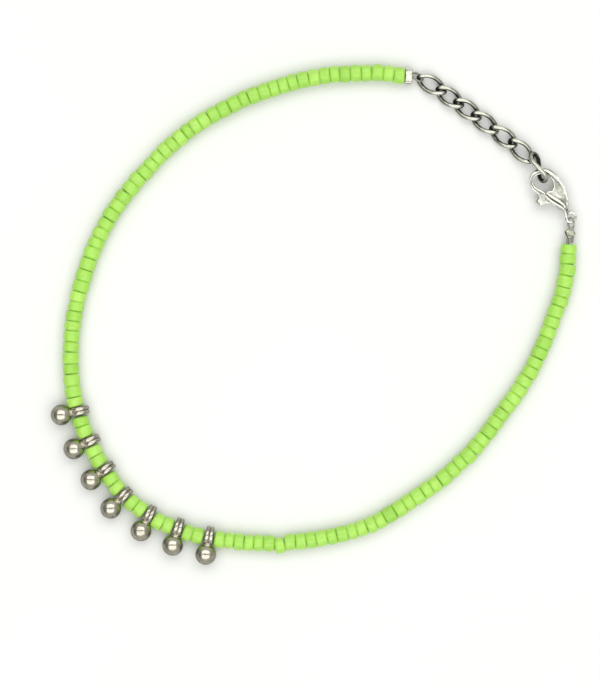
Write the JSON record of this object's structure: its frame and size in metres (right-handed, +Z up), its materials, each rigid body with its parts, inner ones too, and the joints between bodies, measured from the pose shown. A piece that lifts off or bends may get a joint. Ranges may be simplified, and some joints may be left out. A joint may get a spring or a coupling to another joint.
{
  "type": "beaded anklet",
  "caption": "Closed loop of lime seed beads on a beading wire, with ball charms on rings, and a short twisted chain fastened by a sprung lobster clasp.",
  "frame": {"origin": "middle of the box round the whole anklet, at the surface it lies on", "axes": "+Z up from the surface, +Y towards the top of the loop where the string starts, +X towards the clasp's side"},
  "size_m": [0.094, 0.0894, 0.0037],
  "materials": {
    "seed_beads": "opaque lime glass, satin",
    "charm_metal": "antiqued nickel, polished high spots and dark recesses",
    "chain_metal": "antiqued silver plate, dark in the crevices",
    "clasp_metal": "polished silver plate, slightly worn",
    "crimp_metal": "flattened crimp, dull silver",
    "wire_coat": "grey nylon coat over a steel beading wire"
  },
  "bodies": {
    "anklet": {"bead_string_left": "seed_beads", "bead_string_right": "seed_beads", "charm_1": "charm_metal", "charm_2": "charm_metal", "charm_3": "charm_metal", "charm_4": "charm_metal", "charm_5": "charm_metal", "charm_6": "charm_metal", "charm_7": "charm_metal", "start_crimp": "crimp_metal", "start_wire_loop": "wire_coat", "chain_link_1": "chain_metal", "chain_link_2": "chain_metal", "chain_link_3": "chain_metal", "chain_link_4": "chain_metal", "chain_link_5": "chain_metal", "chain_link_6": "chain_metal", "chain_link_7": "chain_metal", "clasp_body": "clasp_metal", "end_wire_loop": "wire_coat", "end_crimp": "crimp_metal"},
    "lever": {"clasp_lever": "clasp_metal"}
  },
  "joints": [
    {"name": "clasp_lever_hinge", "type": "hinge", "parent": "anklet", "child": "lever", "pos_m": [0.04214, 0.0205, 0.00164], "axis": [0, 0, -1], "range_deg": [0, 15], "stiffness_Nm_per_rad": 0.002, "springref_deg": -8.59}
  ]
}
